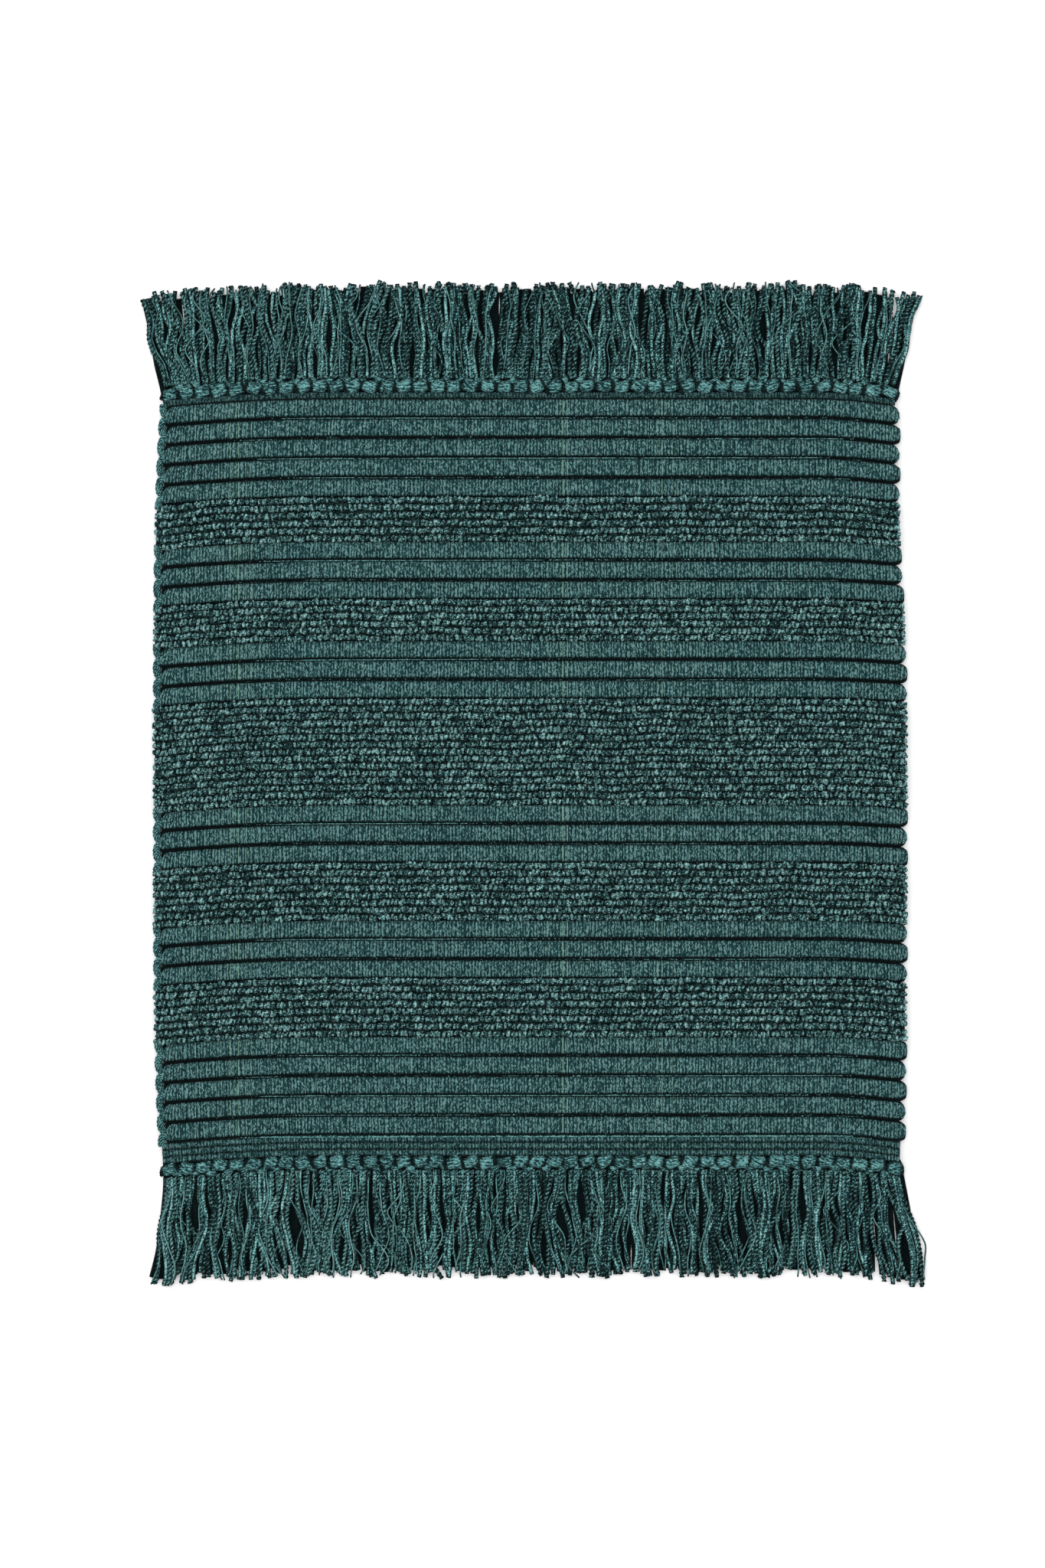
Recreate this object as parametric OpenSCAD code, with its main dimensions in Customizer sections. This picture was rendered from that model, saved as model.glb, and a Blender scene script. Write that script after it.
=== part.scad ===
// Woven cotton bath mat: thick weft ribs, bands of loop pile, and a knotted fringe at both ends.
// Millimetres. X is the width, Y runs from the front fringe to the back fringe, Z is up.
// The origin is at the middle of the footprint, on the floor.

/* [Woven body] */
// Width of the woven body, selvedge to selvedge
mat_w = 510; // [300:5:800]
// Width of one rib, groove to groove
rib_pitch = 13.6; // [10:0.1:20]
// Height of a rib above the floor
rib_h = 9; // [7:0.1:14]
// Radius of a rib's rounded edges
rib_edge_r = 3.4; // [2:0.1:3.4]
// Thickness of the warp yarns that wrap a rib
warp_t = 1.5; // [0.8:0.1:2]

/* [Filler cord] */
// Gap between the filler cord and the warp around it
filler_gap = 0.15; // [0.05:0.05:0.4]
// How far the cord's turns start inside the selvedge
turn_inset = 0.5; // [0:0.5:3]

/* [Loop pile] */
// Thickness of the ground weave under the loops
ground_t = 2.8; // [2:0.1:4]
// Height of the loops above the ground weave
loop_h = 5.4; // [3:0.1:8]
// Distance between two rows of loops, before they are spread over the band
loop_row_pitch = 5.4; // [4:0.1:8]

/* [Plain hems] */
// Length of the plain weave before the front knots
front_hem_len = 12.6; // [6:0.1:20]
// Length of the plain weave before the back knots
back_hem_len = 2.8; // [2:0.1:20]
// Thickness of the plain weave, ridges left out
hem_t = 3.2; // [2.4:0.1:5]
// Distance between two thin picks, before they are spread over the hem
pick_pitch = 4.2; // [2.5:0.1:6]

/* [Knots and tassels] */
// Number of knots along each end, with one tassel each
knot_count = 44; // [20:1:70]
// Radius of a knot's two lumps
knot_r = 3.2; // [2.4:0.1:4]
// Length of a front tassel
front_tassel_len = 73; // [40:1:120]
// Length of a back tassel
back_tassel_len = 65; // [40:1:120]
// Thickness of a tassel lying on the floor
tassel_t = 6.4; // [4:0.1:7]
// How far the outermost tassels splay outwards, in degrees
splay = 8; // [0:0.5:10]

/* [Hidden] */
$fn = 48;
cord_sides = 10;     // sides of the filler cord's tube
turn_steps = 8;      // rings in each half turn of the filler cord
cord_rest = 0.15;    // from a filler cord to the warp that it lies on
knot_gap = 0.3;      // between two knots, and between a knot and its tassel
tassel_gap = 1;      // between two tassels at their roots
tassel_lift = 0.5;   // from the floor to a tassel
ridge_gap = 0.2;     // between two ridges of loops or of thin picks
knot_bite = 0.3;     // how far a knot's round side is flattened against the hem
lump_overlap = 0.7;  // how far a knot's two lumps run into each other

// Bands from the front to the back: ribs, pile, ribs, pile ... ribs.
rib_groups = [5, 3, 3, 3, 3, 5];
pile_lens = [38.5, 38, 71, 27, 29];

function total(list, count) = count <= 0 ? 0 : list[count - 1] + total(list, count - 1);

knot_zone = 4 * knot_r - lump_overlap - knot_bite;
woven_len = total(rib_groups, len(rib_groups)) * rib_pitch + total(pile_lens, len(pile_lens));
mat_len = front_tassel_len + back_tassel_len + 2 * (knot_zone + knot_gap)
    + front_hem_len + back_hem_len + woven_len;
front_root_y = -mat_len / 2 + front_tassel_len;        // where the front tassels start
front_hem_y = front_root_y + knot_gap + knot_zone;     // outer edge of the front hem
body_y = front_hem_y + front_hem_len;                  // front edge of the first rib
back_hem_y = body_y + woven_len + back_hem_len;        // outer edge of the back hem
back_root_y = back_hem_y + knot_zone + knot_gap;       // where the back tassels start

// Ribs are numbered from 0 at the front. group_of() gives a rib's group.
rib_count = total(rib_groups, len(rib_groups));
function group_of(rib, group = 0) =
    rib < total(rib_groups, group + 1) ? group : group_of(rib, group + 1);
function rib_y(rib) = body_y + (rib + 0.5) * rib_pitch + total(pile_lens, group_of(rib));
function pile_y(band) =
    body_y + total(rib_groups, band + 1) * rib_pitch + total(pile_lens, band);

ground_z = (rib_h - ground_t) / 2;   // the ground weave runs at the ribs' mid height
hem_z = (rib_h - hem_t) / 2;
knot_z = rib_h / 2;
hinge_z = knot_z + knot_r + 0.7;     // a turned-over tassel clears the knots and the ribs
knot_pitch = mat_w / knot_count;

// The filler cord lies doubled in each rib.
bore_w = rib_pitch - 2 * warp_t;
bore_h = rib_h - 2 * warp_t;
bore_edge_r = min(rib_edge_r - warp_t / 2, bore_h / 2 - 0.1);
cord_r = min(bore_h / 2, bore_w / 4) - filler_gap;
cord_z = warp_t + cord_rest + cord_r * cos(180 / cord_sides);   // height of the cord's middle
run_offset = cord_r + filler_gap / 2;          // from a rib's middle to each run
far_turn_x = mat_w / 2 - turn_inset;           // middle of the turns at the right selvedge
near_turn_x = -mat_w / 2 + turn_inset;         // middle of the turns at the left selvedge
near_turn_r = rib_pitch / 2 - run_offset;

function two_digits(n) = n < 10 ? str("0", n) : str(n);
letters = "abcdef";
rib_names = [for (i = [1:rib_count]) str("rib_", two_digits(i))];
cord_names = [for (g = [0:len(rib_groups) - 1]) str("filler_cord_", letters[g])];
ground_names = [for (b = [1:len(pile_lens)]) str("pile_ground_", b)];
loop_names = [for (b = [1:len(pile_lens)]) str("loop_pile_", b)];

teal = [0.20, 0.33, 0.33];
deep_teal = [0.13, 0.24, 0.24];

// A bar along X with the given outline in Y and Z, centred on X.
module along_x(length)
    rotate([90, 0, 90])
        linear_extrude(length, center = true)
            children();

module rounded_outline(w, h, r)
    union() {
        square([w - 2 * r, h], center = true);
        square([w, h - 2 * r], center = true);
        for (x = [-1, 1], y = [-1, 1])
            translate([x * (w / 2 - r), y * (h / 2 - r)])
                circle(r);
    }

// Warp yarns wrapped round one rib: a tube that is open at both selvedges.
// Its flat sides, where the warp crosses, meet the neighbouring bands.
module rib(index)
    color(teal)
        translate([0, rib_y(index), rib_h / 2])
            along_x(mat_w)
                difference() {
                    rounded_outline(rib_pitch, rib_h, rib_edge_r);
                    rounded_outline(bore_w, bore_h, bore_edge_r);
                }

// Half a turn round [x, y], from straight below it to straight above it, bulging to side.
function half_turn(x, y, r, side) =
    [for (i = [0:turn_steps]) let (a = -90 + 180 * i / turn_steps)
        [x + side * r * cos(a), y + r * sin(a)]];

// In each rib the cord runs to the right selvedge and back, then turns into the next rib.
function cord_route(first, count) = concat(
    [[near_turn_x, rib_y(first) - run_offset]],
    [for (i = [0:count - 1]) each concat(
        half_turn(far_turn_x, rib_y(first + i), run_offset, 1),
        i < count - 1
            ? half_turn(near_turn_x, (rib_y(first + i) + rib_y(first + i + 1)) / 2, near_turn_r, -1)
            : [[near_turn_x, rib_y(first + i) + run_offset]])]);

function heading(route, i) =
    let (back = route[max(i - 1, 0)], ahead = route[min(i + 1, len(route) - 1)])
    atan2(ahead[1] - back[1], ahead[0] - back[0]);

// A round tube that follows a level route.
module tube(route, r, z) {
    last = len(route) - 1;
    rings = [for (i = [0:last], s = [0:cord_sides - 1])
        let (side = heading(route, i) - 90, a = 360 * s / cord_sides)
        [route[i][0] + r * cos(a) * cos(side), route[i][1] + r * cos(a) * sin(side), z + r * sin(a)]];
    walls = [for (i = [0:last - 1], s = [0:cord_sides - 1])
        let (n = (s + 1) % cord_sides, here = i * cord_sides, next = here + cord_sides)
        [here + s, next + s, next + n, here + n]];
    caps = [[for (s = [0:cord_sides - 1]) s],
        [for (s = [cord_sides - 1:-1:0]) last * cord_sides + s]];
    polyhedron(rings, concat(walls, caps), convexity = 10);
}

module filler_cord(group)
    color(deep_teal)
        tube(cord_route(total(rib_groups, group), rib_groups[group]), cord_r, cord_z);

module pile_ground(band)
    color(deep_teal)
        translate([-mat_w / 2, pile_y(band), ground_z])
            cube([mat_w, pile_lens[band], ground_t]);

// Half-round ridges along X, spread evenly over a length in Y from y = 0.
module ridges(length, pitch, base_t, top_z) {
    count = max(1, round(length / pitch));
    step = length / count;
    ridge_r = min((step - ridge_gap) / 2, top_z - 0.4);
    translate([0, length / 2, base_t / 2])
        cube([mat_w, length, base_t], center = true);
    for (i = [0:count - 1])
        translate([0, (i + 0.5) * step, top_z - ridge_r])
            rotate([0, 90, 0])
                cylinder(h = mat_w, r = ridge_r, center = true);
}

// One band of loop pile: a ridge for each row of loops.
module loop_pile(band)
    color(teal)
        translate([0, pile_y(band), ground_z + ground_t])
            difference() {
                ridges(pile_lens[band], loop_row_pitch, loop_h / 2, loop_h);
                translate([0, pile_lens[band] / 2, -loop_h])
                    cube([mat_w + 2, pile_lens[band] + 2, 2 * loop_h], center = true);
            }

module hem(length)
    color(teal)
        intersection() {
            translate([0, 0, hem_z])
                ridges(length, pick_pitch, hem_t, hem_t + 1);
            translate([0, length / 2, rib_h / 2])
                cube([mat_w, length, 2 * rib_h], center = true);
        }

// One lump of a knot: a bar along X with round ends.
module knot_lump(length)
    rotate([0, 90, 0])
        rotate_extrude()
            intersection() {
                union() {
                    square([2 * knot_r, length - 2 * knot_r], center = true);
                    for (side = [-1, 1])
                        translate([0, side * (length / 2 - knot_r)])
                            circle(knot_r);
                }
                translate([0, -length / 2])
                    square([knot_r, length]);
            }

// Knots of one end, tied against the hem at y = 0 and reaching out to y = -knot_zone.
module knots()
    color(teal)
        for (i = [0:knot_count - 1])
            translate([(i + 0.5 - knot_count / 2) * knot_pitch, 0, knot_z])
                intersection() {
                    union() {
                        translate([0, knot_bite - knot_r, 0])
                            knot_lump(knot_pitch - knot_gap);
                        translate([0, knot_r - knot_zone, 0])
                            knot_lump(knot_pitch - knot_gap);
                    }
                    translate([0, -knot_zone, 0])
                        cube([2 * knot_pitch, 2 * knot_zone, 4 * knot_r], center = true);
                }

// Tassels of one end, from their roots at y = 0 out towards -Y.
module tassels(length)
    color(teal)
        for (i = [0:knot_count - 1]) {
            x = (i + 0.5 - knot_count / 2) * knot_pitch;
            translate([x, 0, tassel_lift + tassel_t / 2])
                tassel(length, splay * x / (mat_w / 2));
        }

// One tassel, turned outwards in plan and cut square at its root and its tip.
module tassel(length, turn)
    intersection() {
        rotate([90, 0, turn])
            translate([0, 0, -tassel_t])
                linear_extrude(length + 2 * tassel_t)
                    rounded_outline(knot_pitch - tassel_gap, tassel_t, tassel_t / 2 - 0.2);
        translate([0, -length / 2, 0])
            cube([2 * length, length, 2 * tassel_t], center = true);
    }

// Turns what is drawn for the front end round to the back end.
module at_back(y)
    translate([0, y, 0])
        rotate([0, 0, 180])
            children();

for (i = [0:rib_count - 1])
    rib(i);
for (g = [0:len(rib_groups) - 1])
    filler_cord(g);
for (b = [0:len(pile_lens) - 1]) {
    pile_ground(b);
    loop_pile(b);
}
translate([0, front_hem_y, 0]) hem(front_hem_len);  // front_hem
at_back(back_hem_y) hem(back_hem_len);  // back_hem
translate([0, front_hem_y, 0]) knots();  // front_knots
at_back(back_hem_y) knots();  // back_knots
translate([0, front_root_y, 0]) tassels(front_tassel_len);  // front_tassels
at_back(back_root_y) tassels(back_tassel_len);  // back_tassels
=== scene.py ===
"""Bath mat of teal cotton: wrapped ribs, bands of loop pile, knots and loose fringes."""

import logging
import math
from dataclasses import dataclass
from enum import Enum
from typing import Sequence, Union

import bpy
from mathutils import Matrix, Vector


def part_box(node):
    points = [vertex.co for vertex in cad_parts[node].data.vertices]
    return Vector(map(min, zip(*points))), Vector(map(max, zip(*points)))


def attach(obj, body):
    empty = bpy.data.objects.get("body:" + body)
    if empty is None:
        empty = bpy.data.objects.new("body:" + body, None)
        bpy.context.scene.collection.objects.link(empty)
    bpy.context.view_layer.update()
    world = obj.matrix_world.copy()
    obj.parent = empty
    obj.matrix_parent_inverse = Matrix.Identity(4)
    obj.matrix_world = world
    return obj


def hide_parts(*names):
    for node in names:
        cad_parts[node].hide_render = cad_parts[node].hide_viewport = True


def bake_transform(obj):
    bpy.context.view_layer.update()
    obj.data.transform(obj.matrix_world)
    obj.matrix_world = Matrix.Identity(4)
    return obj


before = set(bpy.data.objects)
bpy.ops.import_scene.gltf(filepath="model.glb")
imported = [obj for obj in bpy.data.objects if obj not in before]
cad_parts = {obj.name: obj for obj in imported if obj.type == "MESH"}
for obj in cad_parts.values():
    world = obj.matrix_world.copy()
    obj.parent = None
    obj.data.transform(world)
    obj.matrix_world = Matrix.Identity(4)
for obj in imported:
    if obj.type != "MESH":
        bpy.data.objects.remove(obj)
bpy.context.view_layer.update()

log = logging.getLogger("bath_mat")
MM = 0.001
TAU = 2 * math.pi
Colour = tuple[float, float, float, float]
Point = tuple[float, float, float]
Feed = Union["Num", bpy.types.NodeSocket, bpy.types.Material, float, int, bool, str, tuple]


class Num:
    """A socket that takes part in Python arithmetic; each operator adds its Math node."""

    def __init__(self, graph: "Graph", socket: bpy.types.NodeSocket) -> None:
        """Keeps the socket and the graph that new nodes go into."""
        self.graph = graph
        self.socket = socket

    def __add__(self, other: Feed) -> "Num":
        """Adds a number or socket."""
        return self.graph.maths("ADD", self, other)

    __radd__ = __add__

    def __sub__(self, other: Feed) -> "Num":
        """Takes a number or socket away."""
        return self.graph.maths("SUBTRACT", self, other)

    def __rsub__(self, other: Feed) -> "Num":
        """Is taken away from a number."""
        return self.graph.maths("SUBTRACT", other, self)

    def __mul__(self, other: Feed) -> "Num":
        """Multiplies by a number or socket."""
        return self.graph.maths("MULTIPLY", self, other)

    __rmul__ = __mul__

    def __truediv__(self, other: Feed) -> "Num":
        """Divides by a number or socket."""
        return self.graph.maths("DIVIDE", self, other)

    def __mod__(self, other: Feed) -> "Num":
        """Remainder, never below zero."""
        return self.graph.maths("FLOORED_MODULO", self, other)

    def __pow__(self, other: Feed) -> "Num":
        """Raises to a power; the base must not be negative."""
        return self.graph.maths("POWER", self, other)

    def __lt__(self, other: Feed) -> "Num":
        """One where this is the smaller, else zero."""
        return self.graph.maths("LESS_THAN", self, other)

    def __neg__(self) -> "Num":
        """Changes the sign."""
        return self * -1.0

    def __abs__(self) -> "Num":
        """Drops the sign."""
        return self.graph.maths("ABSOLUTE", self)

    def floor(self) -> "Num":
        """Rounds down."""
        return self.graph.maths("FLOOR", self)

    def round(self) -> "Num":
        """Rounds to the nearest whole number."""
        return self.graph.maths("ROUND", self)

    def sin(self) -> "Num":
        """Sine of radians."""
        return self.graph.maths("SINE", self)

    def cos(self) -> "Num":
        """Cosine of radians."""
        return self.graph.maths("COSINE", self)

    def least(self, other: Feed) -> "Num":
        """The smaller of the two."""
        return self.graph.maths("MINIMUM", self, other)

    def most(self, other: Feed) -> "Num":
        """The larger of the two."""
        return self.graph.maths("MAXIMUM", self, other)

    def bent(self, power: float) -> "Num":
        """Raises the size to a power and keeps the sign."""
        return self.graph.maths("SIGN", self) * abs(self) ** power

    def rise(self, low: float, high: float, smooth: bool = True) -> "Num":
        """Goes from zero at low to one at high, and is held outside them.

        Args:
            low: Value where the rise starts.
            high: Value where it ends; it may be below low.
            smooth: Whether the rise eases in and out.

        Returns:
            The risen value.
        """
        kind = "SMOOTHSTEP" if smooth else "LINEAR"
        return self.graph.out("ShaderNodeMapRange", {"interpolation_type": kind},
                              {"Value": self, "From Min": low, "From Max": high}, "Result")


class Graph:
    """Adds nodes to a shader tree or a geometry tree."""

    def __init__(self, tree: bpy.types.NodeTree) -> None:
        """Keeps the tree that is being built."""
        self.tree = tree

    def node(self, kind: str, settings: dict | None = None,
             values: dict[Union[str, int], Feed] | None = None) -> bpy.types.Node:
        """Adds one node.

        Args:
            kind: The node's type.
            settings: Its properties, which are set first.
            values: A value or a link for each of its inputs, by name or number.

        Returns:
            The node.
        """
        node = self.tree.nodes.new(kind)
        for key, value in (settings or {}).items():
            setattr(node, key, value)
        for key, value in (values or {}).items():
            socket = node.inputs[key] if isinstance(key, int) else next(
                s for s in node.inputs if s.name == key and s.enabled)
            source = value.socket if isinstance(value, Num) else value
            if isinstance(source, bpy.types.NodeSocket):
                self.tree.links.new(source, socket)
            else:
                socket.default_value = source
        return node

    def out(self, kind: str, settings: dict | None = None,
            values: dict[Union[str, int], Feed] | None = None,
            output: Union[str, int] = 0) -> Num:
        """Adds one node and takes one of its outputs.

        Args:
            kind: The node's type.
            settings: Its properties.
            values: A value or a link for each of its inputs.
            output: Name or number of the output.

        Returns:
            The output.
        """
        node = self.node(kind, settings, values)
        socket = node.outputs[output] if isinstance(output, int) else next(
            s for s in node.outputs if s.name == output and s.enabled)
        return Num(self, socket)

    def maths(self, operation: str, *terms: Feed) -> Num:
        """Adds one Math node with the given terms."""
        return self.out("ShaderNodeMath", {"operation": operation}, dict(enumerate(terms)))

    def split(self, vector: Num) -> tuple[Num, Num, Num]:
        """Splits a vector into its three parts."""
        parts = self.node("ShaderNodeSeparateXYZ", values={0: vector}).outputs
        return Num(self, parts[0]), Num(self, parts[1]), Num(self, parts[2])

    def vector(self, x: Feed, y: Feed, z: Feed) -> Num:
        """Joins three numbers into a vector."""
        return self.out("ShaderNodeCombineXYZ", values={0: x, 1: y, 2: z})

    def noise(self, where: Num, scale: float = 1.0, detail: float = 0.0) -> Num:
        """Smooth noise over space, from about -0.5 to 0.5."""
        return self.out("ShaderNodeTexNoise", {"noise_dimensions": "3D"},
                        {"Vector": where, "Scale": scale, "Detail": detail}) - 0.5

    def wander(self, along: Num, detail: float = 0.0) -> Num:
        """Smooth noise along one number, from about -0.5 to 0.5."""
        return self.out("ShaderNodeTexNoise", {"noise_dimensions": "1D"},
                        {"W": along, "Scale": 1.0, "Detail": detail}) - 0.5

    def mix(self, factor: Feed, a: Feed, b: Feed) -> Num:
        """Mixes two colours."""
        return self.out("ShaderNodeMix", {"data_type": "RGBA"},
                        {"Factor": factor, "A": a, "B": b}, "Result")


class Recipe(Graph):
    """A Geometry Nodes tree with named inputs, which makes one kind of piece."""

    def __init__(self, name: str, inputs: dict[str, Union[int, float]], takes_path: bool = False) -> None:
        """Starts the tree.

        Args:
            name: The tree's name.
            inputs: Its inputs with their first values; a whole number makes a whole-number input.
            takes_path: Whether the tree works on the object's own curve.
        """
        super().__init__(bpy.data.node_groups.new(name, "GeometryNodeTree"))
        face = self.tree.interface
        face.new_socket("Geometry", in_out="OUTPUT", socket_type="NodeSocketGeometry")
        if takes_path:
            face.new_socket("Path", in_out="INPUT", socket_type="NodeSocketGeometry")
        face.new_socket("Finish", in_out="INPUT", socket_type="NodeSocketMaterial")
        for label, value in inputs.items():
            kind = "NodeSocketInt" if isinstance(value, int) else "NodeSocketFloat"
            face.new_socket(label, in_out="INPUT", socket_type=kind).default_value = value
        self.start = self.node("NodeGroupInput")

    def __getitem__(self, label: str) -> Num:
        """Gives one of the tree's own inputs."""
        return Num(self, self.start.outputs[label])

    def index(self) -> Num:
        """Number of the point."""
        return self.out("GeometryNodeInputIndex")

    def place(self) -> tuple[Num, Num, Num]:
        """Where the point is."""
        return self.split(self.out("GeometryNodeInputPosition"))

    def chance(self, key: Num, salt: int, low: float = 0.0, high: float = 1.0) -> Num:
        """Draws one number for each key.

        Args:
            key: What the number belongs to.
            salt: Tells this draw from the tree's other draws.
            low: Least value.
            high: Greatest value.

        Returns:
            The number drawn.
        """
        return self.out("FunctionNodeRandomValue", {"data_type": "FLOAT"},
                        {"Min": low, "Max": high, "ID": key, "Seed": self["Seed"] * 31.0 + salt}, "Value")

    def move(self, geometry: Num, x: Feed, y: Feed, z: Feed) -> Num:
        """Puts every point at the given place."""
        return self.out("GeometryNodeSetPosition",
                        values={"Geometry": geometry, "Position": self.vector(x, y, z)})

    def mark(self, geometry: Num, **marks: Feed) -> Num:
        """Stores a named number on every point for the finish to read."""
        for name, value in marks.items():
            geometry = self.out("GeometryNodeStoreNamedAttribute", {"data_type": "FLOAT", "domain": "POINT"},
                                {"Geometry": geometry, "Name": name, "Value": value})
        return geometry

    def scatter(self, count: Feed, x: Feed, y: Feed, z: Feed) -> Num:
        """Makes points, whose places may depend on their numbers."""
        points = self.out("GeometryNodePoints", values={"Count": count})
        return self.move(points, x, y, z)

    def ring(self, sides: int, radius: float, lobes: int = 1, depth: float = 0.0,
             flat: float = 1.0) -> Num:
        """Makes the outline that a strand is drawn with.

        Args:
            sides: Number of corners.
            radius: Mean radius in metres.
            lobes: Number of plies or threads that show round the outline.
            depth: How deep the furrows between them are, as a share of the radius.
            flat: Height over width.

        Returns:
            The outline, which carries its turn as the mark "around".
        """
        circle = self.out("GeometryNodeCurvePrimitiveCircle", {"mode": "RADIUS"},
                          {"Resolution": sides, "Radius": 1.0})
        turn = self.index() * (TAU / sides)
        reach = (turn * lobes).cos() * (depth * radius) + radius
        circle = self.move(circle, turn.cos() * reach, turn.sin() * reach * flat, 0.0)
        # The furrows between plies, which the finish darkens with painted shade.
        furrow = (turn * lobes).cos() * -0.5 + 0.5
        return self.mark(circle, around=turn, furrow=furrow if lobes > 1 else 0.0)

    def sweep(self, path: Num, outline: Num) -> Num:
        """Draws the outline along the path, with closed ends."""
        return self.out("GeometryNodeCurveToMesh",
                        values={"Curve": path, "Profile Curve": outline, "Fill Caps": True})

    def lay(self, geometry: Num) -> Num:
        """Lets the weave lie as it does: bowed rows, and a body that is widest in the middle."""
        x, y, z = self.place()
        reach = ((y / 0.26) ** 2).least(1.0)
        left, right = (-x).rise(0.13, 0.262, False), x.rise(0.2, 0.262, False)
        droop = left ** 2 * 6.5 + right ** 1.6 * (reach * 3.2 + 3.0) - 1.0
        back = y.rise(-0.04, 0.06)
        far = back * reach.rise(0.0, 0.5) * 0.020 + (1 - back) * reach ** 2 * 0.008 - 0.006
        side = x.rise(-0.05, 0.05)
        slim = (1 - side) * reach ** 2 * 0.018 + side * far
        return self.move(geometry, x * (1.003 - slim), y - droop * MM, z)

    def slope(self, flat: float, steep: float) -> Num:
        """Goes from zero on faces that lie level to one on faces that stand up.

        Args:
            flat: Upright part of the normal below which a face starts to count.
            steep: Upright part of the normal at which it counts in full.

        Returns:
            The slope.
        """
        return abs(self.split(self.out("GeometryNodeInputNormal"))[2]).rise(flat, steep)

    def close(self, geometry: Num) -> "Recipe":
        """Ends the tree: plain mesh, smooth shading, finish."""
        mesh = self.out("GeometryNodeRealizeInstances", values={"Geometry": geometry})
        mesh = self.out("GeometryNodeSetShadeSmooth", values={"Geometry": mesh})
        mesh = self.out("GeometryNodeSetMaterial", values={"Geometry": mesh, "Material": self["Finish"]})
        self.node("NodeGroupOutput", values={0: mesh})
        return self

    def make(self, name: str, finish: bpy.types.Material, values: dict[str, Union[int, float]],
             path: bpy.types.Curve | None = None) -> bpy.types.Object:
        """Makes one piece as a plain mesh at the origin.

        Args:
            name: The piece's name.
            finish: Its material.
            values: Values for the tree's inputs.
            path: The curve that the tree works on, where it takes one.

        Returns:
            The piece.
        """
        former = bpy.data.objects.new("former", path or bpy.data.meshes.new("former"))
        bpy.context.collection.objects.link(former)
        modifier = former.modifiers.new("Recipe", "NODES")
        modifier.node_group = self.tree
        values = {**values, "Finish": finish}
        for item in self.tree.interface.items_tree:
            if item.in_out == "INPUT" and item.name in values:
                modifier[item.identifier] = values[item.name]
        graph = bpy.context.evaluated_depsgraph_get()
        mesh = bpy.data.meshes.new_from_object(former.evaluated_get(graph), depsgraph=graph)
        bpy.data.objects.remove(former)
        mesh.name = name
        piece = bpy.data.objects.new(name, mesh)
        bpy.context.collection.objects.link(piece)
        return piece


class Grain(Enum):
    """How the fibres of a yarn lie, as the size in millimetres of one fleck along X, Y and Z."""

    ACROSS_RIB = (0.68, 1.45, 1.1)
    ROUND_LOOP = (0.95, 0.95, 0.95)
    ALONG_STRAND = (0.8, 1.4, 0.9)
    ALONG_KNOT = (1.7, 0.8, 0.8)
    OPEN_WEAVE = (0.9, 0.9, 0.9)


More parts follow.
